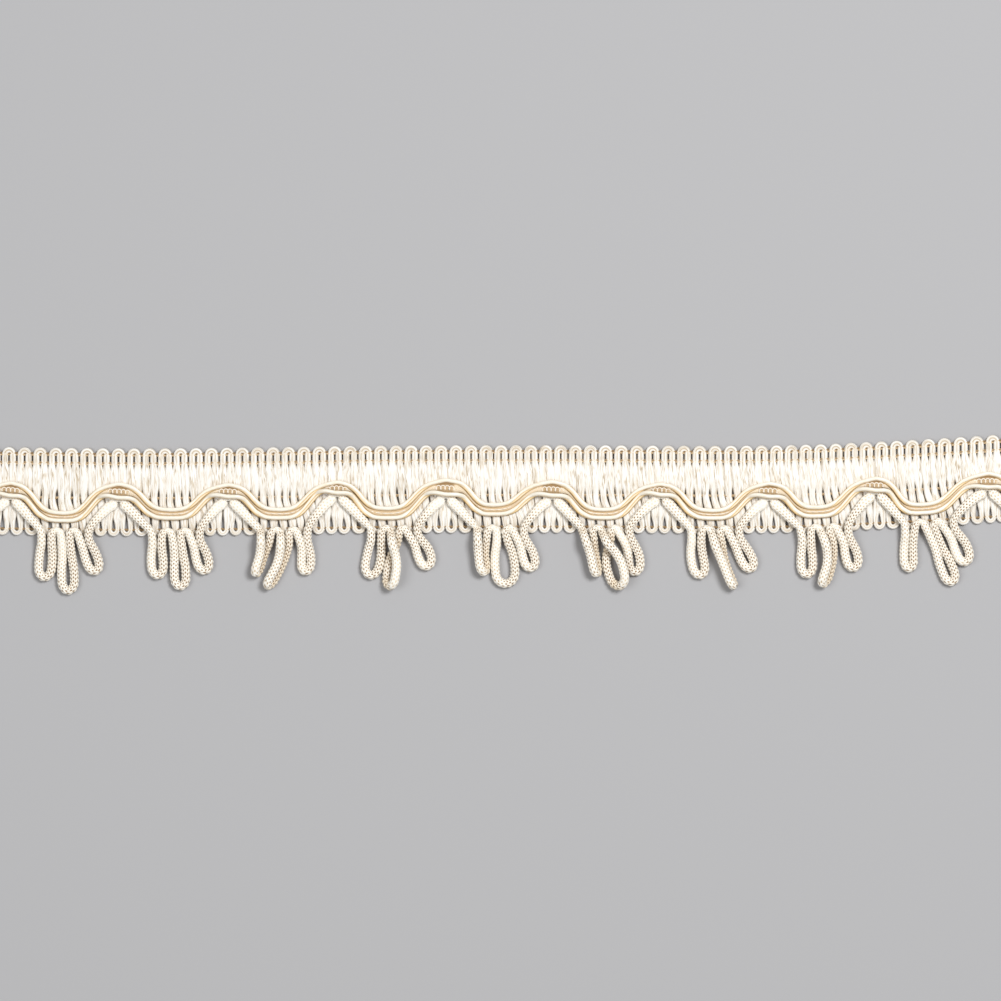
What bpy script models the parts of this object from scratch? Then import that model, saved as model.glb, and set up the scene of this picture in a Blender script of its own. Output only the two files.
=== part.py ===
# Braid trim: a woven ground of hairpin weft, two waved cords and one looped knitted
# cord sewn to its face. A 9 inch cut length that lies face up.
# X runs along the trim, Y across it towards the upper edge, Z out of its face.
# The origin is on the flat back of the ground, at the middle of its length and width.

import math

import bmesh
import bpy
from mathutils import Vector

MM = 0.001

# Ground: one weft yarn that goes up and down the width in hairpins
HAIRPINS = 67
HAIRPIN_PITCH = 3.41 * MM
GROUND_WIDTH = 19.6 * MM
UPPER_THICKNESS = 1.55 * MM
LOWER_THICKNESS = 1.05 * MM
EDGE_HEIGHT = 0.5 * MM
RIB_DEPTH = 0.3 * MM
NOTCH_DEPTH = 0.95 * MM
SHOULDER = 0.55 * MM
SATIN_DEPTH = 9.6 * MM

# Each weft strand slants to the right on its way down, more so at the right end
SLANT_LEFT = 0.5 * MM
SLANT_RIGHT = 1.7 * MM
SLANT_SWING = 0.48 * MM
SLANT_AHEAD = 1.5 * MM
SLANT_FADE = 10.0 * MM
REPEAT = 24.1 * MM

# Waved cords: flat, with two ribs and a groove between them
WAVY_WIDTH = 1.22 * MM
WAVY_TURN_WIDTH = 1.12 * MM
WAVY_HEIGHT = 0.95 * MM
WAVY_STEP = 1.75 * MM
WAVY_FULL_WIDTH_RUN = 0.5
HUMP_REACH = 3.7 * MM
HUMP_SLACK = 0.16 * MM

# Knitted cord: half its thickness, less where it is sewn to the ground, and how far below
# the ground's edge it has come down to the floor
CORD_HALF = 0.9 * MM
SEWN_HALF = 0.79 * MM
SWELL_REACH = 3.5 * MM
DESCENT = 4.5 * MM
ARCH_DROP = 18.2 * MM
ARCH_RADIUS = 1.1 * MM
CREST_ARCH_HALF = 1.0 * MM
CREST_ARCH_DROP = 0.2 * MM
TIP_TURN_LEAST = 1.7 * MM
TIP_TURN_MOST = 2.4 * MM
TIP_TURN_TO_WIDTH = 0.75
OPENED_SHARE = 0.75
LIFTED_SHARE = 0.2
LOOPS_IN_GROUP = 3

CLEARANCE = 0.3 * MM
TRIM_LENGTH = HAIRPINS * HAIRPIN_PITCH
LEFT_END = -0.5 * TRIM_LENGTH
RIGHT_END = 0.5 * TRIM_LENGTH
TOP_EDGE = 0.5 * GROUND_WIDTH

# How the trim lies: place along it and how far its upper edge lies above a straight line
LIE_COLUMNS = ("along", "rise")
LIE = [
    (-114.2, -0.22),
    (-82.0, -0.55),
    (-54.0, -0.33),
    (-24.0, 0.08),
    (16.0, 0.16),
    (48.0, 0.02),
    (67.0, 0.24),
    (81.0, 0.82),
    (92.0, 1.35),
    (109.0, 2.38),
    (114.3, 2.75),
]

# Turning points of the two waved cords, and their depth below the upper edge
WAVE_COLUMNS = ("along", "upper_depth", "lower_depth")
CRESTS = [
    (-108.6, 7.9, 10.8),
    (-84.6, 7.8, 10.75),
    (-60.3, 8.15, 10.85),
    (-36.2, 7.95, 10.4),
    (-12.1, 7.7, 10.85),
    (11.5, 8.1, 11.2),
    (35.5, 8.5, 10.9),
    (59.5, 8.6, 11.1),
    (83.2, 8.1, 10.8),
    (107.9, 8.5, 11.3),
]
TROUGHS = [
    (-120.4, 14.5, 16.1),
    (-96.9, 14.4, 16.05),
    (-72.7, 13.6, 15.4),
    (-48.7, 13.8, 15.6),
    (-24.9, 13.9, 15.95),
    (-1.7, 13.2, 15.2),
    (22.8, 14.2, 16.0),
    (47.2, 14.3, 15.95),
    (70.3, 13.9, 15.8),
    (93.6, 14.4, 16.2),
    (119.4, 14.4, 16.2),
]

# The slopes of a waved cord, both read from its crest: a higher steepness gives rounder turns
# and a steeper middle, a higher bias a narrower crest, and the shoulder lifts the left side
SLOPE_COLUMNS = ("right_steepness", "right_bias", "left_steepness", "left_bias", "shoulder")
UPPER_SLOPE = (1.85, 1.5, 2.3, 0.88, 0.0)
LOWER_SLOPE = (2.4, 1.7, 2.45, 1.43, 0.19)
SHOULDER_PLACE = 0.26
SHOULDER_REACH = 0.13

# The loops: where a loop hangs, the gap between its legs there, how far its tip is to the
# right, how far it reaches below the upper edge, its width from leg to leg (below zero where
# the legs cross), how far it bows to the right, and how far its left leg lies above the other
LOOP_COLUMNS = ("along", "gap", "lean", "reach", "width", "bow", "lift")
LOOPS = [
    (-100.5, 2.05, -0.65, 29.8, 2.90, 0.0, 0.0),
    (-96.5, 1.95, 0.65, 32.7, 2.80, 0.1, 0.0),
    (-92.7, 1.90, 2.9, 28.3, 2.60, 0.1, 0.0),
    (-76.0, 2.05, 0.1, 29.2, 2.65, -0.25, 0.0),
    (-71.9, 1.95, 0.9, 31.7, 2.55, 0.2, 0.0),
    (-68.0, 1.90, 2.45, 28.25, 2.60, 0.2, 0.0),
    (-51.9, 2.05, -1.9, 29.0, 1.80, 0.25, 1.35),
    (-47.8, 1.95, -3.3, 31.7, 1.85, 1.1, 1.35),
    (-44.1, 1.90, 0.8, 28.7, 2.10, 0.55, 0.0),
    (-27.4, 2.05, -1.55, 29.75, 2.70, 0.2, 0.0),
    (-23.4, 1.95, -1.1, 32.2, -2.50, 0.25, 2.30),
    (-19.8, 1.85, 3.5, 27.9, 2.45, 0.6, 0.0),
    (-3.9, 2.05, 0.3, 29.2, 1.40, -0.45, 1.60),
    (0.1, 1.95, 1.1, 31.8, 4.30, 0.15, 0.0),
    (3.8, 1.90, 3.0, 28.3, 2.50, 0.4, 0.0),
    (19.4, 2.05, 1.9, 29.5, 1.00, 0.0, 1.85),
    (23.5, 2.00, 2.8, 32.2, -2.90, -0.2, 2.35),
    (27.1, 1.85, 2.6, 29.1, 2.55, 0.9, 0.0),
    (43.6, 2.05, 0.9, 29.7, 2.75, -0.55, 0.0),
    (47.7, 1.95, 3.9, 32.1, 1.55, -0.4, 1.55),
    (51.5, 1.90, 4.1, 28.3, 2.45, 0.1, 0.0),
    (67.8, 2.05, 0.2, 29.8, 2.65, 0.0, 0.0),
    (71.9, 1.95, -0.1, 32.0, 1.25, 1.35, 1.75),
    (75.7, 1.90, 2.6, 28.8, 2.65, 0.45, 0.0),
    (90.9, 2.05, -0.2, 29.5, 2.10, -0.3, 0.0),
    (95.1, 1.95, 5.1, 33.0, 2.50, 0.05, 0.0),
    (98.9, 1.90, 4.2, 28.8, 2.80, 0.65, 0.0),
]

# The cord's way from a crest's arch down to a leg, as shares of the way along and down
SLOPE_SHARE_COLUMNS = ("along", "down")
RIGHT_WAY = [(0.0, 0.0), (0.22, 0.2), (0.51, 0.48), (0.8, 0.74), (0.94, 0.92)]
LEFT_WAY = [(0.0, 0.0), (0.18, 0.1), (0.47, 0.35), (0.73, 0.6), (0.91, 0.87)]

# At the two cut ends the way stops short of its last stations
END_STATIONS = 3
LEG_REACH = 7.0 * MM


def read_rows(columns, rows):
    # Gives each row as a dictionary of its named columns, in metres
    return [{name: value * MM for name, value in zip(columns, row)} for row in rows]


def smooth(share):
    share = min(max(share, 0.0), 1.0)
    return share * share * (3.0 - 2.0 * share)


def rise_at(x):
    # The upper edge's place above a straight line, as a smooth curve through the table
    rows = read_rows(LIE_COLUMNS, LIE)
    last = len(rows) - 1
    span = 0
    while span < last - 1 and x > rows[span + 1]["along"]:
        span += 1
    before, start, end, after = (rows[min(max(span + step, 0), last)] for step in (-1, 0, 1, 2))
    share = (x - start["along"]) / (end["along"] - start["along"])
    share = min(max(share, 0.0), 1.0)
    start_slope = (end["rise"] - before["rise"]) / (end["along"] - before["along"])
    end_slope = (after["rise"] - start["rise"]) / (after["along"] - start["along"])
    length = end["along"] - start["along"]
    blend = smooth(share)
    bend_start = share * (1.0 - share) ** 2 * length * start_slope
    bend_end = -share ** 2 * (1.0 - share) * length * end_slope
    return start["rise"] * (1.0 - blend) + end["rise"] * blend + bend_start + bend_end


def upper_edge(x):
    return TOP_EDGE + rise_at(x)


def crest_and_trough(x):
    # The crest that a place belongs to, and the trough on that side of it
    crests = read_rows(WAVE_COLUMNS, CRESTS)
    troughs = read_rows(WAVE_COLUMNS, TROUGHS)
    number = 0
    while number < len(crests) - 1 and x > troughs[number + 1]["along"]:
        number += 1
    crest = crests[number]
    return crest, troughs[number + 1] if x >= crest["along"] else troughs[number]


def wave_depth(x, name, slope):
    # Depth of a waved cord's middle line below the upper edge
    shape = dict(zip(SLOPE_COLUMNS, slope))
    crest, trough = crest_and_trough(x)
    side = "right" if x >= crest["along"] else "left"
    share = abs(x - crest["along"]) / abs(trough["along"] - crest["along"])
    share = min(max(share, 0.0), 1.0)
    near = shape[side + "_bias"] * share ** shape[side + "_steepness"]
    far = (1.0 - share) ** shape[side + "_steepness"]
    fall = near / (near + far)
    if side == "left":
        away = (share - SHOULDER_PLACE) / SHOULDER_REACH
        fall -= shape["shoulder"] * math.exp(-(away ** 2))
    return crest[name] + (trough[name] - crest[name]) * fall


def strand_slant(x):
    # How far a weft strand has moved to the right where it reaches the lower edge
    share = (x - LEFT_END) / TRIM_LENGTH
    drift = SLANT_LEFT + (SLANT_RIGHT - SLANT_LEFT) * share
    crest = crest_and_trough(x)[0]
    turn = 2.0 * math.pi * (x - crest["along"] + SLANT_AHEAD) / REPEAT
    fade = smooth(min(x - LEFT_END, RIGHT_END - x) / SLANT_FADE)
    return (drift - SLANT_SWING * math.sin(turn)) * fade


def ground_columns():
    # A row for each column of points. A top hairpin is centred on phase 0, a bottom one on
    # phase 0.5, and both ends of the trim fall between two top hairpins
    names = ("phase", "rib", "top_notch", "bottom_notch")
    phases = [
        (0.0, 0.35, 0.0, 1.0),
        (0.13, 1.0, 0.05, 0.35),
        (0.37, 1.0, 0.35, 0.05),
        (0.5, 0.0, 1.0, 0.0),
        (0.63, 1.0, 0.35, 0.05),
        (0.87, 1.0, 0.05, 0.35),
    ]
    end_column = dict(zip(names, phases[3]), along=LEFT_END)
    columns = [end_column]
    for number in range(HAIRPINS):
        centre = LEFT_END + (number + 0.5) * HAIRPIN_PITCH
        for row in phases:
            column = dict(zip(names, row))
            beyond = 1.0 if column["phase"] > 0.5 else 0.0
            column["along"] = centre + (column["phase"] - beyond) * HAIRPIN_PITCH
            columns.append(column)
    return sorted(columns, key=lambda column: column["along"])


def make_ground():
    mesh = bmesh.new()
    rings = []
    for column in ground_columns():
        x = column["along"]
        top = upper_edge(x) - NOTCH_DEPTH * column["top_notch"]
        bottom = upper_edge(x) - GROUND_WIDTH + NOTCH_DEPTH * column["bottom_notch"]
        slant = strand_slant(x)
        dip = RIB_DEPTH * (1.0 - column["rib"])
        profile = [
            (top, 0.0),
            (top, EDGE_HEIGHT),
            (top - SHOULDER, UPPER_THICKNESS - dip),
            (upper_edge(x) - SATIN_DEPTH, UPPER_THICKNESS - 0.7 * dip),
            (bottom + SHOULDER, LOWER_THICKNESS - dip),
            (bottom, EDGE_HEIGHT),
            (bottom, 0.0),
        ]
        ring = []
        for y, z in profile:
            depth_share = (upper_edge(x) - y) / GROUND_WIDTH
            ring.append(mesh.verts.new((x + slant * depth_share, y, z)))
        rings.append(ring)
    bridge_rings(mesh, rings)
    return finish_mesh(mesh, "ground_braid")


def bridge_rings(mesh, rings):
    # Joins a row of closed rings of the same count with quads, and caps both ends
    count = len(rings[0])
    for ring, following in zip(rings, rings[1:]):
        for corner in range(count):
            after = (corner + 1) % count
            mesh.faces.new((ring[corner], ring[after], following[after], following[corner]))
    mesh.faces.new(list(reversed(rings[0])))
    mesh.faces.new(rings[-1])


def finish_mesh(mesh, name):
    bmesh.ops.recalc_face_normals(mesh, faces=mesh.faces)
    data = bpy.data.meshes.new(name)
    mesh.to_mesh(data)
    mesh.free()
    thing = bpy.data.objects.new(name, data)
    bpy.context.scene.collection.objects.link(thing)
    return thing


def ground_height(x, y):
    # Height of the ground's ribs under a point of the face
    depth = upper_edge(x) - y
    share = (depth - SATIN_DEPTH) / (GROUND_WIDTH - SHOULDER - SATIN_DEPTH)
    return UPPER_THICKNESS + (LOWER_THICKNESS - UPPER_THICKNESS) * min(max(share, 0.0), 1.0)


def wavy_points(name, slope):
    count = round(TRIM_LENGTH / WAVY_STEP)
    points = []
    for number in range(count + 1):
        x = LEFT_END + TRIM_LENGTH * number / count
        y = upper_edge(x) - wave_depth(x, name, slope)
        z = ground_height(x, y) + CLEARANCE
        if name == "lower_depth":
            # Over the knitted cord's arch at a crest
            away = (x - crest_and_trough(x)[0]["along"]) / HUMP_REACH
            z += (2.0 * SEWN_HALF + CLEARANCE + HUMP_SLACK) * math.exp(-(away ** 4))
        points.append(Vector((x, y, z)))
    return points


def make_wavy_cord(object_name, depth_name, slope):
    # Sweeps a flat section with two ribs along the wave
    section = [
        (-0.5, 0.0),
        (-0.5, 0.6),
        (-0.27, 1.0),
        (0.0, 0.68),
        (0.27, 1.0),
        (0.5, 0.6),
        (0.5, 0.0),
    ]
    points = wavy_points(depth_name, slope)
    mesh = bmesh.new()
    rings = []
    for number, point in enumerate(points):
        ahead = points[min(number + 1, len(points) - 1)]
        behind = points[max(number - 1, 0)]
        run = (ahead - behind).normalized()
        if number in (0, len(points) - 1):
            across = Vector((0.0, 1.0 / run.x, 0.0))
        else:
            across = Vector((-run.y, run.x, 0.0)).normalized()
        steepness = min(abs(run.y) / WAVY_FULL_WIDTH_RUN, 1.0)
        width = WAVY_TURN_WIDTH + (WAVY_WIDTH - WAVY_TURN_WIDTH) * steepness
        ring = []
        for side, height in section:
            place = point + across * (side * width)
            place.z += height * WAVY_HEIGHT
            ring.append(mesh.verts.new(place))
        rings.append(ring)
    bridge_rings(mesh, rings)
    return finish_mesh(mesh, object_name)


def cord_half(x, y):
    # Half the knitted cord's thickness: less where it is sewn down
    below_arch = upper_edge(x) - ARCH_DROP - ARCH_RADIUS - y
    return SEWN_HALF + (CORD_HALF - SEWN_HALF) * smooth(below_arch / SWELL_REACH)


def resting_point(x, y, raised=0.0):
    # Over the ground the knitted cord lies on the ribs. Past the lower edge it comes down
    # to the floor
    half = cord_half(x, y)
    over_ground = ground_height(x, y) + CLEARANCE + half
    below_edge = upper_edge(x) - GROUND_WIDTH - y
    share = smooth(below_edge / DESCENT)
    return Vector((x, y, over_ground + (half - over_ground) * share + raised))


def loop_points(loop):
    # The way down the left leg, round the tip and up the right leg
    start = upper_edge(loop["along"]) - ARCH_DROP - ARCH_RADIUS
    tip = upper_edge(loop["along"] + loop["lean"]) - loop["reach"] + CORD_HALF
    turn_height = min(max(TIP_TURN_TO_WIDTH * abs(loop["width"]), TIP_TURN_LEAST), TIP_TURN_MOST)
    turn_share = 1.0 - turn_height / (start - tip)
    stations = [(0.25 * step * turn_share, 1.0) for step in range(1, 5)]
    for angle in (38.0, 66.0, 90.0):
        turn = math.radians(angle)
        stations.append((turn_share + (1.0 - turn_share) * math.sin(turn), math.cos(turn)))
    left, right = [], []
    for share, spread in stations:
        bow = loop["bow"] * 4.0 * share * (1.0 - share)
        middle = Vector((loop["along"] + loop["lean"] * share + bow, start + (tip - start) * share))
        lean_rate = loop["lean"] + loop["bow"] * 4.0 * (1.0 - 2.0 * share)
        across = Vector((start - tip, lean_rate)).normalized()
        opened = smooth(share / (OPENED_SHARE * turn_share))
        half = 0.5 * (loop["gap"] + (loop["width"] - loop["gap"]) * opened) * spread
        raised = 0.5 * loop["lift"] * smooth(share / (LIFTED_SHARE * turn_share))
        left.append(resting_point(*(middle - across * half), raised * (1.0 + spread)))
        right.append(resting_point(*(middle + across * half), raised * (1.0 - spread)))
    return left + list(reversed(right[:-1]))


def arch_points(left_x, right_x):
    # A small arch from one loop's right leg to the next loop's left leg
    middle = 0.5 * (left_x + right_x)
    half = 0.5 * (right_x - left_x)
    points = []
    for angle in (180.0, 135.0, 90.0, 45.0, 0.0):
        turn = math.radians(angle)
        x = middle + half * math.cos(turn)
        y = upper_edge(middle) - ARCH_DROP - ARCH_RADIUS * (1.0 - math.sin(turn))
        points.append(resting_point(x, y))
    return points


def crest_arch_top(crest):
    return upper_edge(crest["along"]) - crest["lower_depth"] - CREST_ARCH_DROP


def crest_points(crest):
    # The arch that the lower waved cord holds down
    points = []
    for angle in (135.0, 90.0, 45.0):
        turn = math.radians(angle)
        x = crest["along"] + CREST_ARCH_HALF * math.cos(turn)
        y = crest_arch_top(crest) - CREST_ARCH_HALF * (1.0 - math.sin(turn))
        points.append(resting_point(x, y))
    return points


def way_down(crest, leg_x, way):
    # From a crest's arch down its side to a leg, beside the lower waved cord
    side = 1.0 if leg_x > crest["along"] else -1.0
    start_x = crest["along"] + side * CREST_ARCH_HALF
    start_y = crest_arch_top(crest) - CREST_ARCH_HALF
    end_y = upper_edge(leg_x) - ARCH_DROP - ARCH_RADIUS
    points = []
    for row in way:
        share = dict(zip(SLOPE_SHARE_COLUMNS, row))
        x = start_x + (leg_x - start_x) * share["along"]
        points.append(resting_point(x, start_y + (end_y - start_y) * share["down"]))
    return points


def group_points(group):
    # Three loops side by side, joined by small arches
    points = []
    for place, loop in enumerate(group):
        points += loop_points(loop)
        if place < len(group) - 1:
            following = group[place + 1]
            right_leg = loop["along"] + 0.5 * loop["gap"]
            points += arch_points(right_leg, following["along"] - 0.5 * following["gap"])
    return points


def knitted_route():
    # The whole way of the cord from the left cut end to the right one
    crests = read_rows(WAVE_COLUMNS, CRESTS)
    loops = read_rows(LOOP_COLUMNS, LOOPS)
    first, last = crests[0], crests[-1]
    route = way_down(first, first["along"] - LEG_REACH, LEFT_WAY[:END_STATIONS])[::-1]
    for number, crest in enumerate(crests[:-1]):
        route += crest_points(crest)
        group = loops[number * LOOPS_IN_GROUP:(number + 1) * LOOPS_IN_GROUP]
        route += way_down(crest, group[0]["along"] - 0.5 * group[0]["gap"], RIGHT_WAY)
        route += group_points(group)
        last_leg = group[-1]["along"] + 0.5 * group[-1]["gap"]
        route += way_down(crests[number + 1], last_leg, LEFT_WAY)[::-1]
    route += crest_points(last)
    return route + way_down(last, last["along"] + LEG_REACH, RIGHT_WAY[:END_STATIONS])


def make_looped_cord():
    # Sweeps a four-sided section along the route. Two sides stay level, and each ring is
    # numbered from the corner that follows on from the last ring's first corner
    route = knitted_route()
    mesh = bmesh.new()
    rings = []
    corners_before = None
    for number, point in enumerate(route):
        ahead = route[min(number + 1, len(route) - 1)]
        behind = route[max(number - 1, 0)]
        run = (ahead - behind).normalized()
        across = Vector((-run.y, run.x, 0.0)).normalized()
        up = run.cross(across)
        half = cord_half(point.x, point.y)
        corners = []
        for side, height in ((-1, -1), (1, -1), (1, 1), (-1, 1)):
            corners.append(point + (across * side + up * height) * half)
        if corners_before:
            turns = [corners[first:] + corners[:first] for first in range(4)]
            corners = min(turns, key=lambda turn: ring_distance(turn, corners_before))
        corners_before = corners
        rings.append([mesh.verts.new(corner) for corner in corners])
    bridge_rings(mesh, rings)
    return finish_mesh(mesh, "looped_cord")


def ring_distance(ring, other):
    return sum((a - b).length for a, b in zip(ring, other))


def colour_object(thing, name, colour, roughness):
    material = bpy.data.materials.new(name)
    material.use_nodes = True
    surface = material.node_tree.nodes["Principled BSDF"]
    surface.inputs["Base Color"].default_value = (*colour, 1.0)
    surface.inputs["Roughness"].default_value = roughness
    surface.inputs["Metallic"].default_value = 0.0
    material.diffuse_color = (*colour, 1.0)
    thing.data.materials.append(material)


def main():
    for thing in list(bpy.data.objects):
        bpy.data.objects.remove(thing)
    ground = make_ground()
    upper = make_wavy_cord("upper_wavy_cord", "upper_depth", UPPER_SLOPE)
    lower = make_wavy_cord("lower_wavy_cord", "lower_depth", LOWER_SLOPE)
    looped = make_looped_cord()
    colour_object(ground, "soft_white_weft", (0.90, 0.87, 0.80), 0.75)
    colour_object(upper, "cream_satin_cord", (0.86, 0.76, 0.56), 0.4)
    colour_object(lower, "champagne_satin_cord", (0.84, 0.73, 0.52), 0.4)
    colour_object(looped, "ivory_knitted_cord", (0.88, 0.83, 0.72), 0.7)


main()
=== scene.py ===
# Braid trim, dressed: hairpin weft and its chain threads, two waved soutache cords, the
# threads that bind them, and one knitted tubular cord in groups of three loops.
import math

import bpy
import numpy as np
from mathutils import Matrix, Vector, noise


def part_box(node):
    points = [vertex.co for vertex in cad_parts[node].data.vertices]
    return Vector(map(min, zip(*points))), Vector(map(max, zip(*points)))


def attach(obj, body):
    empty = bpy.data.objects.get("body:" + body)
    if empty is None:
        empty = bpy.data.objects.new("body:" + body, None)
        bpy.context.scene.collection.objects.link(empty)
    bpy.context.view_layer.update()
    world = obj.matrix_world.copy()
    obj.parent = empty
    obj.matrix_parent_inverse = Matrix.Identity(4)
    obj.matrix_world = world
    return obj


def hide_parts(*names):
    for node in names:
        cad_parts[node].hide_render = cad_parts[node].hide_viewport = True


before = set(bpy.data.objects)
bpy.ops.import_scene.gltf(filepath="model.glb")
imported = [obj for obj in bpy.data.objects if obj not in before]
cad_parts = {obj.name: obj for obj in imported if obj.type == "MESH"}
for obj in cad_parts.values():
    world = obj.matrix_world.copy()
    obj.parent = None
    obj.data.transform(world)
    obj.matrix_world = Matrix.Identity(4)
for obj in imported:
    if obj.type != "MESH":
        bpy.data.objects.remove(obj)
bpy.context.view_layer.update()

mm = 0.001
print("Frame loaded:", ", ".join(sorted(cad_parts)))

# How the trim lies, and what its pieces share. The first values come from the frame
groundLow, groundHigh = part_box("ground_braid")
trim = {
    "leftEnd": groundLow[0],
    "rightEnd": groundHigh[0],
    "length": groundHigh[0] - groundLow[0],
    "topEdge": 9.8 * mm,
    "width": 19.6 * mm,
    "upperThickness": 1.55 * mm,
    "lowerThickness": 1.05 * mm,
    "thickUntil": 9.6 * mm,
    "repeat": 24.1 * mm,
    "pointStep": 0.6 * mm,
    "lagRamp": 0.35,
    "seamDown": 0.16 * mm,
    "pixel": 0.222 * mm,  # one pixel of the photograph, on the trim
}


def inMetres(columns, rows):
    return [{name: value * mm for name, value in zip(columns, row)} for row in rows]


# Place along the trim, and how far the upper edge lies above a straight line there
lie = inMetres(("along", "rise"), [
    (-114.2, -0.22), (-82.0, -0.55), (-54.0, -0.33), (-24.0, 0.08), (16.0, 0.16), (48.0, 0.02),
    (67.0, 0.24), (81.0, 0.82), (92.0, 1.35), (109.0, 2.38), (114.3, 2.75),
])

# Turning points of the waved cords, and their depth below the upper edge
crests = inMetres(("along", "upperDepth", "lowerDepth", "lag"), [
    (-108.6, 7.9, 10.7, 0.0), (-84.6, 7.9, 10.9, 0.0), (-60.3, 8.2, 10.8, 0.0), (-36.2, 7.95, 10.3, 0.0),
    (-12.1, 7.7, 10.85, 0.85), (11.5, 8.1, 11.1, 0.2), (35.5, 8.5, 10.85, 0.0), (59.5, 8.4, 11.3, 0.3),
    (83.2, 8.1, 10.75, 0.0), (107.9, 8.4, 11.4, 0.0),
])
troughs = inMetres(("along", "upperDepth", "lowerDepth"), [
    (-120.4, 14.5, 16.1), (-96.9, 14.4, 16.05), (-72.7, 13.6, 15.4), (-48.7, 13.8, 15.6),
    (-24.9, 13.9, 15.95), (-1.7, 13.2, 15.2), (22.8, 14.2, 16.0), (47.2, 14.3, 15.95),
    (70.3, 13.9, 15.8), (93.6, 14.4, 16.2), (119.4, 14.4, 16.2),
])


def within(value, least, most):
    return min(max(value, least), most)


def mix(first, second, share):
    return first + (second - first) * share


def smooth(share):
    share = within(share, 0.0, 1.0)
    return share * share * (3.0 - 2.0 * share)


def ease(value, start, end):
    # 0 as far as start, 1 from end on, and smooth between them
    return smooth((value - start) / (end - start))


def bell(value, middle, reach):
    return np.exp(-(((value - middle) / reach) ** 2))


def plateau(away, reach):
    # 1 near the middle, and 0 past the reach
    return math.exp(-((away / reach) ** 4))


def curveThrough(before, here, ahead, after, t):
    # A smooth curve (Catmull-Rom) from here (t = 0) to ahead (t = 1)
    bend = 2.0 * before - 5.0 * here + 4.0 * ahead - after
    turn = 3.0 * here - before - 3.0 * ahead + after
    return 0.5 * (2.0 * here + (ahead - before) * t + bend * t * t + turn * t ** 3)


def riseAt(x):
    # A smooth curve through the table
    last = len(lie) - 1
    span = 0
    while span < last - 1 and x > lie[span + 1]["along"]:
        span += 1
    before, start, end, after = (lie[within(span + step, 0, last)] for step in (-1, 0, 1, 2))
    length = end["along"] - start["along"]
    share = within((x - start["along"]) / length, 0.0, 1.0)
    startSlope = (end["rise"] - before["rise"]) / (end["along"] - before["along"])
    endSlope = (after["rise"] - start["rise"]) / (after["along"] - start["along"])
    blend = smooth(share)
    bendStart = share * (1.0 - share) ** 2 * length * startSlope
    bendEnd = -share ** 2 * (1.0 - share) * length * endSlope
    return start["rise"] * (1.0 - blend) + end["rise"] * blend + bendStart + bendEnd


def upperEdge(x):
    return trim["topEdge"] + riseAt(x)


def crestAndTrough(x):
    number = 0
    while number < len(crests) - 1 and x > troughs[number + 1]["along"]:
        number += 1
    crest = crests[number]
    return crest, troughs[number + 1] if x >= crest["along"] else troughs[number]


def crestness(x):
    # 1 at a crest of the waves, 0 at a trough
    crest, trough = crestAndTrough(x)
    share = abs(x - crest["along"]) / abs(trough["along"] - crest["along"])
    return 0.5 + 0.5 * math.cos(math.pi * min(share, 1.0))


# How a waved cord falls from crest (0) to trough (1), at even steps of the way there
waveShape = [dict(zip(("upperRight", "upperLeft", "lowerRight", "lowerLeft"), row)) for row in [
    (0.0, 0.0, 0.0, 0.0), (0.035, 0.035, 0.0, -0.05), (0.1, 0.085, 0.02, -0.09),
    (0.215, 0.16, 0.14, -0.055), (0.39, 0.28, 0.4, 0.14), (0.62, 0.46, 0.67, 0.42),
    (0.81, 0.68, 0.84, 0.7), (0.92, 0.85, 0.945, 0.88), (0.97, 0.945, 0.985, 0.97),
    (0.99, 0.985, 1.0, 1.0), (1.0, 1.0, 1.0, 1.0),
]]


def waveDepth(x, cord):
    # Depth of a waved cord's middle line below the upper edge
    crest, trough = crestAndTrough(x)
    side = "Right" if x >= crest["along"] else "Left"
    away = abs(x - crest["along"])
    span = abs(trough["along"] - crest["along"])
    if side == "Right":
        ramp = trim["lagRamp"] * span
        away -= crest["lag"] * smooth(away / ramp) * smooth((span - away) / ramp)
    steps = len(waveShape) - 1
    share = within(away / span, 0.0, 1.0) * steps
    number = min(int(share), steps - 1)
    values = [waveShape[abs(min(number + k, steps))][cord + side] for k in (-1, 0, 1, 2)]
    if number == 0 and cord == "lower":
        values[0] = -values[2]
    name = cord + "Depth"
    fall = curveThrough(*values, share - number)
    return mix(crest[name], trough[name], fall) + trim["seamDown"]


def groundHeight(x, y):
    depth = upperEdge(x) - y
    share = within((depth - trim["thickUntil"]) / (trim["width"] - trim["thickUntil"]), 0.0, 1.0)
    return mix(trim["upperThickness"], trim["lowerThickness"], share)


def alongTrim():
    count = int(trim["length"] / trim["pointStep"])
    return [trim["leftEnd"] + trim["length"] * number / count for number in range(count + 1)]


# Every yarn and cord is made in one way: a straight tube with a ring for each station of its
# route is given its section, and a Curve modifier then lays it along the route
def deselectAll():
    if bpy.context.object and bpy.context.object.mode != "OBJECT":
        bpy.ops.object.mode_set(mode="OBJECT")
    bpy.ops.object.select_all(action="DESELECT")


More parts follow.
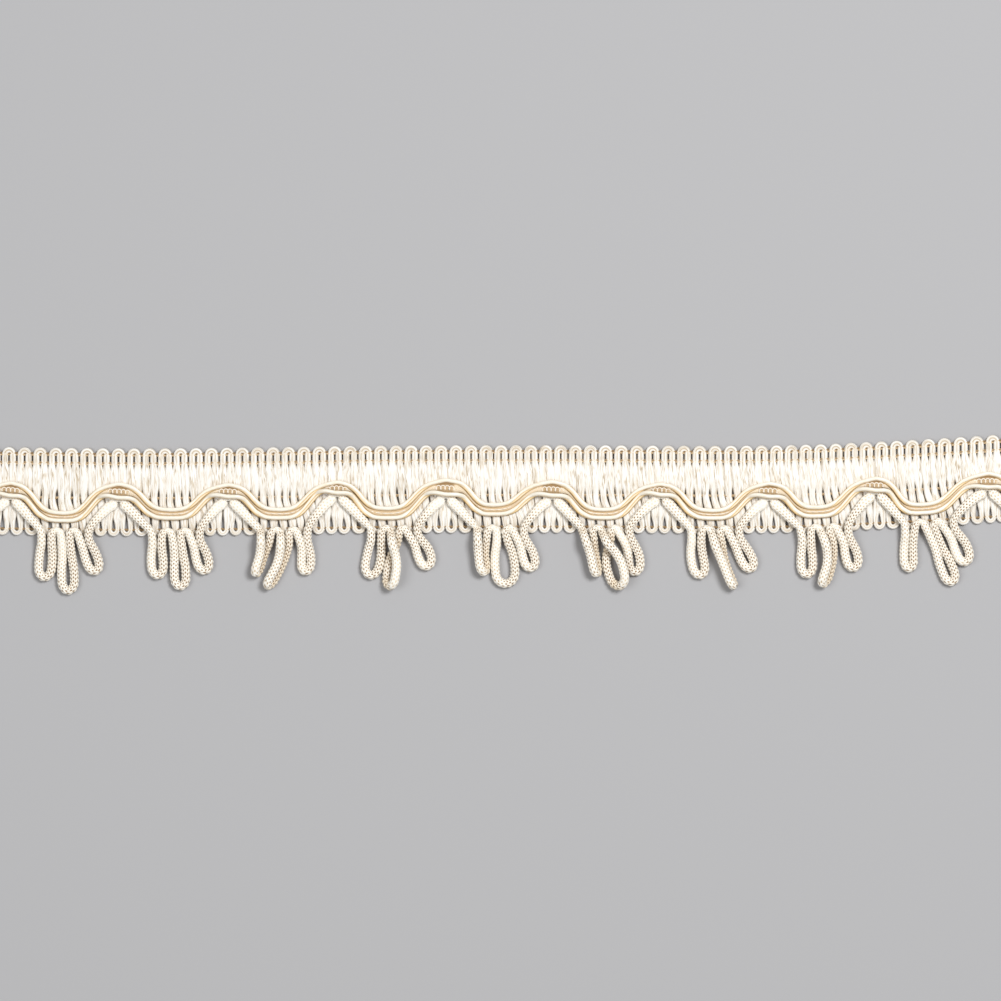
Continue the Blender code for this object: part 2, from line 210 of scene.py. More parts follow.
def straightTube(name, columns, steps):
    deselectAll()
    bpy.ops.mesh.primitive_cylinder_add(vertices=columns, radius=1.0, depth=1.0, end_fill_type="NOTHING")
    tube = bpy.context.object
    tube.name = name
    tube.data.name = name
    bpy.ops.object.mode_set(mode="EDIT")
    bpy.ops.mesh.select_all(action="SELECT")
    bpy.ops.transform.rotate(value=-0.5 * math.pi, orient_axis="Y", center_override=(0.0, 0.0, 0.0))
    bpy.ops.transform.translate(value=(0.5, 0.0, 0.0))
    bpy.ops.object.mode_set(mode="OBJECT")
    array = tube.modifiers.new("Length", "ARRAY")
    array.use_relative_offset = False
    array.use_constant_offset = True
    array.constant_offset_displace = (1.0, 0.0, 0.0)
    array.count = steps
    array.use_merge_vertices = True
    array.merge_threshold = 0.01
    bpy.ops.object.modifier_apply(modifier=array.name)
    bpy.ops.object.mode_set(mode="EDIT")
    bpy.ops.mesh.select_all(action="SELECT")
    bpy.ops.mesh.fill_holes(sides=0)
    bpy.ops.object.mode_set(mode="OBJECT")
    return tube


def routeRow(place, wide, high, roll=0.0, **more):
    return {"place": place, "wide": wide, "high": high, "roll": roll, **more}


def makeCord(name, columns, route, section, flank=(1.0, 2.0, 3.0, 1.0)):
    # route: a row for each station, with place, wide and high (half sizes), roll, and what the
    # section asks for by name. section: each point's station, its y and z as shares of wide
    # and high, its painted shade, how much of the painted shade down the sides it takes, and
    # its UV map where it has its own. flank: how far below the crown the painted shade of a
    # side starts, is half dark and is darkest, and how dark that is
    tube = straightTube(name, columns, len(route) - 1)
    data = tube.data
    co = np.empty(len(data.vertices) * 3)
    data.vertices.foreach_get("co", co)
    co = co.reshape(-1, 3)
    station = np.round(co[:, 0])
    angle = np.mod(np.arctan2(co[:, 2], co[:, 1]), 2.0 * math.pi)
    places = np.array([tuple(row["place"]) for row in route])
    steps = np.linalg.norm(np.diff(places, axis=0), axis=1)
    distance = np.concatenate(([0.0], np.cumsum(steps)))
    numbers = np.arange(len(route))

    def valueAt(name, where=station):
        # A row without the value counts as 1
        return np.interp(where, numbers, [row.get(name, 1.0) for row in route])

    shifted, y, z, shade, edge, *ownMap = section(station, angle, valueAt)
    across, along = ownMap or (angle / (2.0 * math.pi), np.interp(station, numbers, distance) / mm)
    wide, high, roll = (valueAt(name, shifted) for name in ("wide", "high", "roll"))
    y, z = y * wide, z * high
    co[:, 0] = np.interp(shifted, numbers, distance)
    co[:, 1] = y * np.cos(roll) - z * np.sin(roll)
    co[:, 2] = y * np.sin(roll) + z * np.cos(roll)
    data.vertices.foreach_set("co", co.reshape(-1))
    setMap(data, across, along)
    ring = station.astype(int)
    crown = np.full(len(route), -1.0)
    np.maximum.at(crown, ring, co[:, 2])
    # Painted shade: each side darkens by how far it lies below the crown of its ring
    start, half, full, most = flank
    below = (crown[ring] - co[:, 2]) / valueAt("reach")
    side = edge * np.interp(below, (0.0, start, half, full), (0.0, 0.0, 0.5 * most, most))
    setAttribute(data, "painted_shade", np.maximum(np.clip(shade, 0.0, 1.0), side))
    # A pattern and its painted shade show more on the sides than on the lit crown
    onSide = 0.85 + 0.4 * np.clip(below / mm, 0.0, 1.0)
    setAttribute(data, "pattern", valueAt("pattern", shifted) * onSide)
    guide = guideCurve(tube.name + "_route", places)
    bend = tube.modifiers.new("Route", "CURVE")
    bend.object = guide
    bend.deform_axis = "POS_X"
    deselectAll()
    bpy.context.view_layer.objects.active = tube
    tube.select_set(True)
    bpy.ops.object.modifier_apply(modifier=bend.name)
    bpy.ops.object.shade_smooth()
    bpy.data.objects.remove(guide)
    return tube


def setAttribute(data, name, values):
    attribute = data.attributes.new(name, "FLOAT", "POINT")
    attribute.data.foreach_set("value", values)


def readAll(items, name):
    values = np.empty(len(items), dtype=np.int32)
    items.foreach_get(name, values)
    return values


def setMap(data, across, along):
    # The seam's faces get the first column's value plus one turn
    loops = readAll(data.loops, "vertex_index")
    starts = readAll(data.polygons, "loop_start")
    counts = readAll(data.polygons, "loop_total")
    turn = across.max() + (across.max() - across.min()) / (len(np.unique(np.round(across, 5))) - 1)
    u = across[loops]
    highest = np.repeat(np.maximum.reduceat(u, starts), counts)
    sides = np.repeat(counts, counts)
    u = np.where((sides <= 4) & (highest - u > 0.5 * turn), u + turn, u)
    layer = data.uv_layers[0] if data.uv_layers else data.uv_layers.new()
    layer.data.foreach_set("uv", np.column_stack((u, along[loops])).reshape(-1))


def guideCurve(name, places):
    curve = bpy.data.curves.new(name, "CURVE")
    curve.dimensions = "3D"
    curve.twist_mode = "Z_UP"
    spline = curve.splines.new("POLY")
    spline.points.add(len(places) - 1)
    spline.points.foreach_set("co", np.column_stack((places, np.ones(len(places)))).reshape(-1))
    guide = bpy.data.objects.new(name, curve)
    bpy.context.scene.collection.objects.link(guide)
    return guide


# Round, with the route's tint as painted shade
def threadSection(station, angle, valueAt):
    return station, np.cos(angle), np.sin(angle), valueAt("tint"), 1.0


def evenStations(points, step):
    # A smooth curve through the points, with stations an even step apart
    dense = []
    for number in range(len(points) - 1):
        near = [points[within(number + k, 0, len(points) - 1)] for k in (-1, 0, 1, 2)]
        pieces = max(int((near[2] - near[1]).length / (0.25 * step)), 2)
        dense += [curveThrough(*near, k / pieces) for k in range(pieces)]
    dense.append(points[-1])
    places = np.array([tuple(p) for p in dense])
    run = np.concatenate(([0.0], np.cumsum(np.linalg.norm(np.diff(places, axis=0), axis=1))))
    even = np.linspace(0.0, run[-1], int(round(run[-1] / step)) + 1)
    return np.column_stack([np.interp(even, run, places[:, axis]) for axis in range(3)])


def runPast(places, number, reach):
    # The way from as many stations before one as after it
    return places[min(number + reach, len(places) - 1)] - places[max(number - reach, 0)]


# Ground: one bulky two-end weft yarn in hairpins
weft = {
    "hairpins": 67,
    "columns": 16,
    "step": 0.5 * mm,
    "turnStep": 20.0,
    "topHalf": 0.67 * mm,
    "bottomHalf": 0.52 * mm,
    "bottomRadius": 0.86 * mm,
    "bottomSpread": 0.16 * mm,
    "legsFrom": 1.5 * mm,
    # How a strand moves sideways, and the depths between which each change comes in
    "slantLeft": 0.33 * mm,
    "slantRight": 1.55 * mm,
    "slantSwing": 0.73 * mm,
    "slantAhead": 0.9 * mm,
    "slantOver": (0.15 * trim["width"], trim["width"]),
    "fadeAtEnds": 8.0 * mm,
    "troughLean": 0.55 * mm,
    "leanDepth": 11.5 * mm,
    "leanReach": 3.2 * mm,
    "pinch": 0.4,
    "pinchAlong": 2.5 * mm,
    "pinchDepth": 12.4 * mm,
    "pinchReach": 2.8 * mm,
    "middlePull": 0.69 * mm,
    "middleBefore": 3.1 * mm,
    "middleAlong": 4.9 * mm,
    "middleOver": (5.0 * mm, 11.0 * mm),
    "lowPull": 0.98 * mm,
    "lowAlong": 5.3 * mm,
    "lowOver": (12.0 * mm, 17.0 * mm),
    "spreadOver": (14.5 * mm, 17.5 * mm),
    # Its unevenness, where it isn't held
    "looseOver": (4.5 * mm, 6.5 * mm),
    "heldOver": (15.5 * mm, 17.5 * mm),
    "waver": 0.3 * mm,
    "waverLength": 5.0 * mm,
    "swellLength": 3.0 * mm,
    "wideSwell": 0.05,
    "highSwell": 0.07,
    "rise": 0.07 * mm,
    "sway": 0.25,
    # Its section, and the groove between its two ends, with painted shade along it that is
    # strongest near the turns, and the painted shade down its sides (flank)
    "roundness": (0.8, 0.62),
    "grooveDepth": 0.14,
    "grooveHalf": 0.22,
    "grooveShadeHalf": 0.16,
    "grooveAbove": (4.5 * mm, 3.0 * mm),
    "grooveBelow": (16.0 * mm, 17.5 * mm),
    "topGroove": 0.8,
    "bottomGroove": 0.55,
    "flank": (0.14 * mm, 0.36 * mm, 0.85 * mm, 1.0),
}
# How far each hairpin stands from an even spacing
hairpinDrift = inMetres(("along", "shift"), [
    (-114.2, 0.1), (-109.0, 0.07), (-81.0, 0.55), (-68.0, 0.64), (-54.0, 0.69), (-33.0, 0.75),
    (-23.0, 0.69), (-13.0, 0.42), (0.0, 0.11), (10.0, -0.18), (20.0, -0.51), (23.0, -0.6),
    (34.0, -0.36), (44.0, -0.18), (54.5, 0.0), (61.0, -0.13), (71.0, -0.58), (84.0, -0.73),
    (91.0, -0.75), (98.0, -0.44), (109.0, 0.09), (114.3, 0.15),
])
# Width and thickness of a strand on its way down. It is pulled narrow at the chain threads
strandRows = inMetres(("depth", "inTrough", "atCrest", "thick"), [
    (0.6, 1.38, 1.38, 1.2), (1.5, 1.38, 1.38, 1.15), (2.4, 1.42, 1.42, 1.3), (3.4, 1.42, 1.42, 1.15),
    (4.2, 1.58, 1.58, 1.36), (4.9, 1.94, 1.94, 1.46), (5.8, 2.18, 2.18, 1.5), (7.2, 2.26, 2.26, 1.52),
    (8.8, 2.14, 2.2, 1.48), (9.6, 1.74, 2.08, 1.4), (10.4, 1.46, 1.96, 1.3), (11.1, 1.44, 1.86, 1.2),
    (12.0, 1.48, 1.76, 1.28), (13.0, 1.64, 1.74, 1.3), (14.5, 1.78, 1.68, 1.25), (15.6, 1.74, 1.54, 1.2),
    (16.6, 1.84, 1.24, 1.12), (17.6, 1.66, 1.04, 1.08), (18.4, 1.4, 1.0, 1.05), (19.2, 1.14, 1.0, 1.05),
])


def fromTable(rows, key, name, value):
    return float(np.interp(value, [row[key] for row in rows], [row[name] for row in rows]))


def strandSize(name, depth):
    return fromTable(strandRows, "depth", name, depth)


def hairpinPlace(number):
    x = trim["leftEnd"] + (number + 0.5) * trim["length"] / weft["hairpins"]
    return x + fromTable(hairpinDrift, "along", "shift", x)


def legPlace(leg):
    # Leg 0 is the left leg of hairpin 0. Slots inside and between hairpins are alike
    middle = hairpinPlace(leg // 2)
    spacing = hairpinPlace(leg // 2 + 1) - middle
    return middle + (0.25 if leg % 2 else -0.25) * spacing


def legShift(x, depth):
    # How far a strand has moved sideways at a depth
    crest, trough = crestAndTrough(x)
    fromCrest, fromTrough = x - crest["along"], x - trough["along"]
    drift = mix(weft["slantLeft"], weft["slantRight"], (x - trim["leftEnd"]) / trim["length"])
    turn = 2.0 * math.pi * (fromCrest + weft["slantAhead"]) / trim["repeat"]
    slant = (drift - weft["slantSwing"] * math.sin(turn)) * ease(depth, *weft["slantOver"])
    lean = weft["troughLean"] * (1.0 - crestness(x)) * bell(depth, weft["leanDepth"], weft["leanReach"])
    squeeze = weft["pinch"] * fromCrest * bell(fromCrest, 0.0, weft["pinchAlong"])
    squeeze *= bell(depth, weft["pinchDepth"], weft["pinchReach"])
    low = ease(depth, *weft["lowOver"])
    pull = weft["lowPull"] * bell(fromTrough, 0.0, weft["lowAlong"]) * low
    middle = weft["middlePull"] * bell(fromTrough, -weft["middleBefore"], weft["middleAlong"])
    pull += middle * ease(depth, *weft["middleOver"]) * (1.0 - low)
    fromEnd = min(x - trim["leftEnd"], trim["rightEnd"] - x)
    return (slant - lean + pull - squeeze) * smooth(fromEnd / weft["fadeAtEnds"])


def strandStation(leg, depth):
    x = legPlace(leg)
    x += legShift(x, depth)
    wave = crestness(x)
    width = mix(strandSize("inTrough", depth), strandSize("atCrest", depth), wave)
    loose = ease(depth, *weft["looseOver"]) * (1.0 - ease(depth, *weft["heldOver"]))
    swing = noise.noise(Vector((leg * 3.7, depth / weft["waverLength"], 1.3)))
    swell = noise.noise(Vector((leg * 5.1, depth / weft["swellLength"], 8.1)))
    x += weft["waver"] * swing * loose
    spread = weft["bottomSpread"] * ease(depth, *weft["spreadOver"]) * wave
    x += -spread if leg % 2 else spread
    half = 0.5 * width * (1.0 + weft["wideSwell"] * swell)
    high = 0.5 * strandSize("thick", depth) * (1.0 + weft["highSwell"] * swell * loose)
    place = Vector((x, upperEdge(x) - depth, high + weft["rise"] * loose * (1.0 + swing)))
    # groove: how much painted shade lies along the groove on top
    groove = 0.1 + 0.5 * ease(depth, *weft["grooveAbove"]) + 0.4 * ease(depth, *weft["grooveBelow"])
    return routeRow(place, half, high, weft["sway"] * swing * loose, groove=groove)


def weftRoute():
    # Each hairpin's left leg goes up and its right leg down
    lowest = trim["width"] - weft["bottomHalf"] - weft["bottomRadius"]
    depths = np.arange(weft["legsFrom"], lowest, weft["step"])
    legs = 2 * weft["hairpins"]
    route = []
    for leg in range(legs):
        rows = [strandStation(leg, depth) for depth in depths]
        if leg % 2:
            route += rows
            if leg < legs - 1:
                route += bottomTurn(leg, rows[-1])
        else:
            route += rows[::-1]
            route += topTurn(leg, rows[0])
    return route


def topTurn(leg, last):
    # Over the top, from a hairpin's left leg to its right one
    left, right = legPlace(leg), legPlace(leg + 1)
    middle, radius = 0.5 * (left + right), 0.5 * (right - left)
    rows = []
    for angle in np.arange(180.0 - weft["turnStep"], 0.0, -weft["turnStep"]):
        turn = math.radians(angle)
        x = middle + radius * math.cos(turn)
        y = upperEdge(middle) - weft["topHalf"] - radius * (1.0 - math.sin(turn))
        high = last["high"] * (0.97 + 0.03 * math.cos(turn) ** 2)
        rows.append(routeRow(Vector((x, y, high)), weft["topHalf"], high, groove=weft["topGroove"]))
    return rows


def bottomTurn(leg, last):
    # Round the bottom, from the right leg of a hairpin to the left leg of the next
    left = last["place"]
    rightX = strandStation(leg + 1, upperEdge(left.x) - left.y)["place"].x
    middle, radius = 0.5 * (left.x + rightX), 0.5 * (rightX - left.x)
    lowest = upperEdge(middle) - trim["width"] + weft["bottomHalf"]
    tall = left.y - lowest
    rows = []
    for angle in np.arange(180.0 + weft["turnStep"], 360.0, weft["turnStep"]):
        turn = math.radians(angle)
        place = Vector((middle + radius * math.cos(turn), left.y + tall * math.sin(turn), last["high"]))
        half = mix(weft["bottomHalf"], last["wide"], smooth(abs(math.cos(turn))))
        rows.append(routeRow(place, half, last["high"], groove=weft["bottomGroove"]))
    return rows


def twoEndSection(station, angle, valueAt):
    # Two soft ends side by side: a flattened section with a shallow groove in both faces, and
    # painted shade along the groove on top
    acrossPower, upPower = weft["roundness"]
    y = np.sign(np.cos(angle)) * np.abs(np.cos(angle)) ** acrossPower
    z = np.sign(np.sin(angle)) * np.abs(np.sin(angle)) ** upPower
    z *= 1.0 - weft["grooveDepth"] * bell(y, 0.0, weft["grooveHalf"])
    shade = valueAt("groove") * bell(y, 0.0, weft["grooveShadeHalf"]) * (z > 0.0)
    return station, y, z, shade, 1.0


weftStations = weftRoute()
groundWeft = makeCord("ground_weft", weft["columns"], weftStations, twoEndSection, weft["flank"])
print("Weft:", len(weftStations), "stations,", 2 * len(groundWeft.data.polygons), "triangles")

# Chain threads: at each depth two fine threads pass over and under the strands by turns
chain = {
    "depths": (1.5 * mm, 3.48 * mm, 11.15 * mm, 18.1 * mm),
    "radius": 0.11 * mm,
    "slotRadii": (0.23 * mm, 0.22 * mm, 0.18 * mm, 0.17 * mm),
    "apart": (0.2 * mm, 0.2 * mm, 0.14 * mm, 0.1 * mm),
    "slotRise": 0.14 * mm,
    "sunk": 0.15 * mm,
    "under": 0.15 * mm,
    # Painted shade where each thread passes through a slot, for each depth and each of the two threads
    "tints": ((0.5, 1.0), (0.45, 0.8), (0.8, 0.5), (0.9, 0.9)),
    "columns": 6,
    "stepsPerStrand": 6,
}


def chainRoute(number, phase):
    # Sunk into the crowns that it crosses, and thick beside its partner in each slot, with
    # painted shade there
    depth, tint = chain["depths"][number], chain["tints"][number][phase]
    slotRadius, apart = chain["slotRadii"][number], chain["apart"][number]
    over = strandSize("thick", depth) - chain["sunk"]
    places = []
    for leg in range(2 * weft["hairpins"]):
        x = strandStation(leg, depth)["place"].x
        places.append((x, chain["under"] if (leg + phase) % 2 else over))
    route = []
    for (x0, z0), (x1, z1) in zip(places, places[1:]):
        for k in range(chain["stepsPerStrand"]):
            share = k / chain["stepsPerStrand"]
            x = mix(x0, x1, share)
            inSlot = math.sin(math.pi * share) ** 2
            z = mix(z0, z1, ease(share, 0.15, 0.85)) + chain["slotRise"] * inSlot
            side = apart * (1 if phase else -1) * (0.35 + 0.65 * inSlot)
            radius = mix(chain["radius"], slotRadius, inSlot)
            place = Vector((x, upperEdge(x) - depth + side, z))
            route.append(routeRow(place, radius, radius, tint=tint * min(1.6 * inSlot ** 1.5, 1.0)))
    return route


chainThreads = []
for number in range(len(chain["depths"])):
    for phase in (0, 1):
        name = f"chain_thread_{number + 1}{'ab'[phase]}"
        route = chainRoute(number, phase)
        chainThreads.append(makeCord(name, chain["columns"], route, threadSection))
print("Chain threads:", len(chainThreads))

# Waved cords: soutache of two ribs, flat on the slopes and standing on edge at the turns
waved = {
    "columns": 32,
    "step": 0.2 * mm,
    "halfWidth": 0.68 * mm,
    "halfThick": 0.45 * mm,
    "mostRoll": 72.0,
    "leftRoll": 10.0,
    "rightRoll": 20.0,
    "slopeStations": 4,
    "flatOver": (0.15, 0.95),
    "flatNarrower": 0.05 * mm,
    # Painted shade down the sides reaches over less depth where the cord lies flat (flatReach)
    "flatReach": 0.3,
    "ribPower": 2.6,
    "grooveDepth": 0.08,
    "flatGroove": 0.3,
    "rightGroove": 0.1,
    "grooveHalf": 0.2,
    # Painted shade in the groove where the cord lies flat, and down the sides, less of it towards one
    # edge (outerEdge)
    "grooveShade": 0.75,
    "grooveShadeHalf": 0.18,
    "flank": (0.2 * mm, 0.5 * mm, 1.0 * mm, 0.9),
    "outerEdge": {"upper": 0.62, "lower": 0.8},
    "humpReach": 3.7 * mm,
    "humpHeight": 1.45 * mm,
}


def flatnessOn(slope):
    # 0 where a waved cord stands on edge, 1 where it lies flat
    return ease(abs(slope), *waved["flatOver"])


def wavedRoute(cord):
    points = [Vector((x, upperEdge(x) - waveDepth(x, cord), 0.0)) for x in alongTrim()]
    places = evenStations(points, waved["step"])
    ribs = waved["halfWidth"] - waved["halfThick"]
    route = []
    for number, (x, y, _) in enumerate(places):
        run = runPast(places, number, waved["slopeStations"])
        slope = run[1] / run[0]
        flatness = flatnessOn(slope)
        flatRoll = waved["leftRoll"] if slope > 0.0 else waved["rightRoll"]
        roll = math.radians(mix(waved["mostRoll"], flatRoll, flatness))
        z = groundHeight(x, y) + waved["halfThick"] + ribs * math.sin(roll)
        if cord == "lower":
            z += waved["humpHeight"] * plateau(x - crestAndTrough(x)[0]["along"], waved["humpReach"])
        route.append(routeRow(
            Vector((x, y, z)), waved["halfWidth"] - waved["flatNarrower"] * flatness,
            waved["halfThick"], roll, flat=flatness * (1.0 if slope > 0.0 else waved["rightGroove"]),
            reach=mix(1.0, waved["flatReach"], flatness), outer=waved["outerEdge"][cord],
        ))
    return route


def soutacheSection(station, angle, valueAt):
    # Two round ribs with a groove between them, which shows where the cord lies flat, with
    # painted shade in it there
    y = np.cos(angle)
    z = np.sign(np.sin(angle)) * np.sqrt(np.maximum(1.0 - np.abs(y) ** waved["ribPower"], 0.0))
    flat = valueAt("flat")
    z *= 1.0 - (waved["grooveDepth"] + waved["flatGroove"] * flat) * bell(y, 0.0, waved["grooveHalf"])
    shade = waved["grooveShade"] * bell(y, 0.0, waved["grooveShadeHalf"]) * flat
    return station, y, z, shade, mix(1.0, valueAt("outer"), 0.5 + 0.5 * y)


wavedCords = {}
for cordName in ("upper", "lower"):
    name = cordName + "_soutache"
    route = wavedRoute(cordName)
    wavedCords[cordName] = makeCord(name, waved["columns"], route, soutacheSection, waved["flank"])
print("Waved cords:", ", ".join(wavedCords))

# Knitted cord: its route follows the CAD's, with its wales and courses modelled
knit = {
    "wales": 5,
    "columnsPerWale": 8,
    "course": 0.88 * mm,
    "rowsPerCourse": 4,
    "half": 1.05 * mm,
    "sewnHalf": 0.96 * mm,
    "pitDepth": 0.2,
    "climb": 0.27,
    "pressedHigh": 0.68,
    "pressedWide": 1.28,
    "pressedOver": (7.0 * mm, 1.5 * mm),
    "clear": 0.05 * mm,
    "swellReach": 3.5 * mm,
    "descent": 4.5 * mm,
    "archDrop": 18.2 * mm,
    "archRadius": 1.1 * mm,
    "archShoulder": 1.5,
    "crestArchHalf": 1.4 * mm,
    "crestArchDrop": 0.3 * mm,
    "crestArchWidth": 0.6,
    "crestArchReach": 1.2 * mm,
    "crestArchOver": (1.6 * mm, 0.8 * mm),
    "crestDepth": 11.0 * mm,
    "legReach": 7.0 * mm,
    "turnHeights": (1.7 * mm, 2.4 * mm),
    "flank": (0.75 * mm, 1.2 * mm, 1.9 * mm, 0.75),
    "pressedPattern": {"left": 0.45, "right": 0.75},
    "archPattern": 0.45,
    "archWidth": 0.68,
    "archOver": (19.0 * mm, 18.1 * mm),
    "archAwayFromCrest": (0.4, 0.3),
    "coverStations": 160,
    "coverRise": 0.7 * mm,
    "coverOver": (2.3 * mm, 1.1 * mm),
    "climbStations": 6,
    # How open the stitches stand, which deepens the pits and their painted shade, and painted
    # shade on the cord where another stretch lies over it and where it climbs
    "openEvenly": 0.8,
    "pitsAndShadeCovered": 0.8,
    "pitsAndShadeClimbing": 0.8,
    "openDrift": 0.6,
    "darkCovered": 0.22,
    "darkClimbing": 0.1,
    "twist": 1.3,
}
# The loops: place, gap between the legs there, lean of the tip, reach below the upper edge,
# width (below zero where the legs cross), bow, how far the left leg lies above the other, and
# how much the legs draw together halfway down
loops = inMetres(("along", "gap", "lean", "reach", "width", "bow", "lift", "pinch"), [
    (-100.5, 2.05, -0.65, 29.8, 2.90, 0.0, 0.0, 0.0),
    (-96.5, 1.95, 0.65, 32.7, 2.80, 0.1, 0.0, 0.2),
    (-92.7, 1.90, 2.9, 28.3, 2.60, 0.1, 0.0, 0.1),
    (-76.0, 2.05, 0.1, 29.2, 2.65, -0.25, 0.0, 0.1),
    (-71.9, 1.95, 0.9, 31.7, 2.55, 0.2, 0.0, 0.2),
    (-68.0, 1.90, 2.45, 28.25, 2.60, 0.2, 0.0, 0.15),
    (-51.9, 2.05, -2.3, 29.0, 0.9, 0.25, 1.7, 0.0),
    (-47.8, 1.95, -3.8, 31.7, 1.1, 1.1, 1.6, 0.0),
    (-44.1, 1.90, 0.8, 28.7, 2.10, 0.55, 0.0, 0.25),
    (-27.4, 2.05, -1.55, 29.75, 3.1, 0.2, 0.0, 0.0),
    (-23.4, 1.95, -1.2, 32.2, -1.9, 0.25, 2.30, 0.0),
    (-19.8, 1.85, 3.5, 27.9, 2.8, 0.6, 0.0, 0.22),
    (-3.9, 2.05, 0.3, 29.2, 1.40, -0.45, 1.60, 0.0),
    (0.1, 1.95, 1.1, 31.8, 4.30, 0.15, 0.0, 0.0),
    (3.8, 1.90, 3.0, 28.3, 2.50, 0.4, 0.0, 0.25),
    (19.4, 2.05, 1.9, 29.5, 1.00, 0.0, 1.85, 0.0),
    (23.5, 2.00, 3.0, 32.2, -3.3, -0.2, 2.35, 0.0),
    (27.1, 1.85, 2.6, 29.1, 2.55, 0.9, 0.0, 0.2),
    (43.6, 2.05, 0.9, 29.7, 2.75, -0.55, 0.0, 0.05),
    (47.7, 1.95, 3.9, 32.1, 0.6, -0.4, 1.75, 0.0),
    (51.5, 1.90, 4.1, 28.3, 2.45, 0.1, 0.0, 0.2),
    (67.8, 2.05, 0.2, 29.8, 2.65, 0.0, 0.0, 0.15),
    (71.9, 1.95, -0.5, 32.0, 1.25, 1.45, 1.75, 0.0),
    (75.7, 1.90, 2.6, 28.8, 2.65, 0.45, 0.0, 0.25),
    (90.9, 2.05, -0.2, 29.5, 2.10, -0.3, 0.0, 0.1),
    (95.1, 1.95, 5.1, 33.0, 2.50, 0.05, 0.0, 0.4),
    (98.9, 1.90, 4.2, 28.8, 2.80, 0.65, 0.0, 0.2),
])
rightWay = [(0.0, 0.0), (0.22, 0.2), (0.51, 0.48), (0.8, 0.74), (0.94, 0.92)]
leftWay = [(0.0, 0.0), (0.18, 0.1), (0.47, 0.35), (0.73, 0.6), (0.91, 0.87)]


def legTop(x):
    return upperEdge(x) - knit["archDrop"] - knit["archRadius"]


def legSides(loop):
    return loop["along"] - 0.5 * loop["gap"], loop["along"] + 0.5 * loop["gap"]


def knitHalf(x, y):
    return mix(knit["sewnHalf"], knit["half"], smooth((legTop(x) - y) / knit["swellReach"]))


def pressedShare(x, y):
    # The cord is pressed flat where it is sewn under a crest
    return ease(upperEdge(x) - knit["crestDepth"] - y, *knit["pressedOver"])


def knitHigh(x, y):
    return knitHalf(x, y) * mix(1.0, knit["pressedHigh"], pressedShare(x, y))


def restingPoint(x, y, raised=0.0):
    half = knitHigh(x, y)
    overGround = groundHeight(x, y) + knit["clear"] + half
    belowEdge = upperEdge(x) - trim["width"] - y
    return Vector((x, y, mix(overGround, half, smooth(belowEdge / knit["descent"])) + raised))


def loopPoints(loop):
    start = legTop(loop["along"])
    tip = upperEdge(loop["along"] + loop["lean"]) - loop["reach"] + knit["half"]
    turnHeight = within(0.75 * abs(loop["width"]), *knit["turnHeights"])
    turnShare = 1.0 - turnHeight / (start - tip)
    stations = [(0.25 * step * turnShare, 1.0) for step in range(1, 5)]
    for angle in (30.0, 60.0, 90.0):
        turn = math.radians(angle)
        stations.append((mix(turnShare, 1.0, math.sin(turn)), math.cos(turn)))
    left, right = [], []
    for share, spread in stations:
        bow = loop["bow"] * 4.0 * share * (1.0 - share)
        middle = Vector((loop["along"] + loop["lean"] * share + bow, mix(start, tip, share)))
        leanRate = loop["lean"] + loop["bow"] * 4.0 * (1.0 - 2.0 * share)
        across = Vector((start - tip, leanRate)).normalized()
        opened = smooth(share / (0.75 * turnShare))
        drawn = loop["pinch"] / mm * bell(share / turnShare, 0.4, 0.25)  # pinch is no length
        half = 0.5 * mix(loop["gap"], loop["width"], opened) * spread * (1.0 - drawn)
        raised = 0.5 * loop["lift"] * smooth(share / (0.2 * turnShare))
        left.append(restingPoint(*(middle - across * half), raised * (1.0 + spread)))
        right.append(restingPoint(*(middle + across * half), raised * (1.0 - spread)))
    return left + list(reversed(right[:-1]))


def archPoints(leftX, rightX):
    middle, half = 0.5 * (leftX + rightX), 0.5 * (rightX - leftX)
    points = []
    for angle in (180.0, 135.0, 90.0, 45.0, 0.0):
        turn = math.radians(angle)
        fall = (1.0 - math.sin(turn)) * (knit["archShoulder"] if angle in (45.0, 135.0) else 1.0)
        y = upperEdge(middle) - knit["archDrop"] - knit["archRadius"] * fall
        points.append(restingPoint(middle + half * math.cos(turn), y))
    return points


def crestTop(crest):
    return upperEdge(crest["along"]) - crest["lowerDepth"] - knit["crestArchDrop"]


def crestPoints(crest):
    half = knit["crestArchHalf"]
    points = []
    for angle in (135.0, 90.0, 45.0):
        turn = math.radians(angle)
        y = crestTop(crest) - half * (1.0 - math.sin(turn))
        points.append(restingPoint(crest["along"] + half * math.cos(turn), y))
    return points


def wayDown(crest, legX, way):
    side = 1.0 if legX > crest["along"] else -1.0
    startX = crest["along"] + side * knit["crestArchHalf"]
    startY = crestTop(crest) - knit["crestArchHalf"]
    endY = legTop(legX)
    return [restingPoint(mix(startX, legX, along), mix(startY, endY, down)) for along, down in way]


def knittedPoints():
    first, last = crests[0], crests[-1]
    points = wayDown(first, first["along"] - knit["legReach"], leftWay[:3])[::-1]
    for number, crest in enumerate(crests[:-1]):
        points += crestPoints(crest)
        group = loops[3 * number:3 * number + 3]
        points += wayDown(crest, legSides(group[0])[0], rightWay) + loopPoints(group[0])
        for loop, following in zip(group, group[1:]):
            points += archPoints(legSides(loop)[1], legSides(following)[0]) + loopPoints(following)
        points += wayDown(crests[number + 1], legSides(group[-1])[1], leftWay)[::-1]
    points += crestPoints(last)
    return points + wayDown(last, last["along"] + knit["legReach"], rightWay[:3])


def archShare(x, y):
    # 1 at the small arches sewn on between two loops
    return ease(upperEdge(x) - y, *knit["archOver"]) * ease(crestness(x), *knit["archAwayFromCrest"])


def crestArchShare(x, y):
    # 1 at the top of the small arch under the lower waved cord, where it is drawn narrow
    crest = crestAndTrough(x)[0]
    high = ease(crestTop(crest) - y, *knit["crestArchOver"])
    return plateau(x - crest["along"], knit["crestArchReach"]) * high


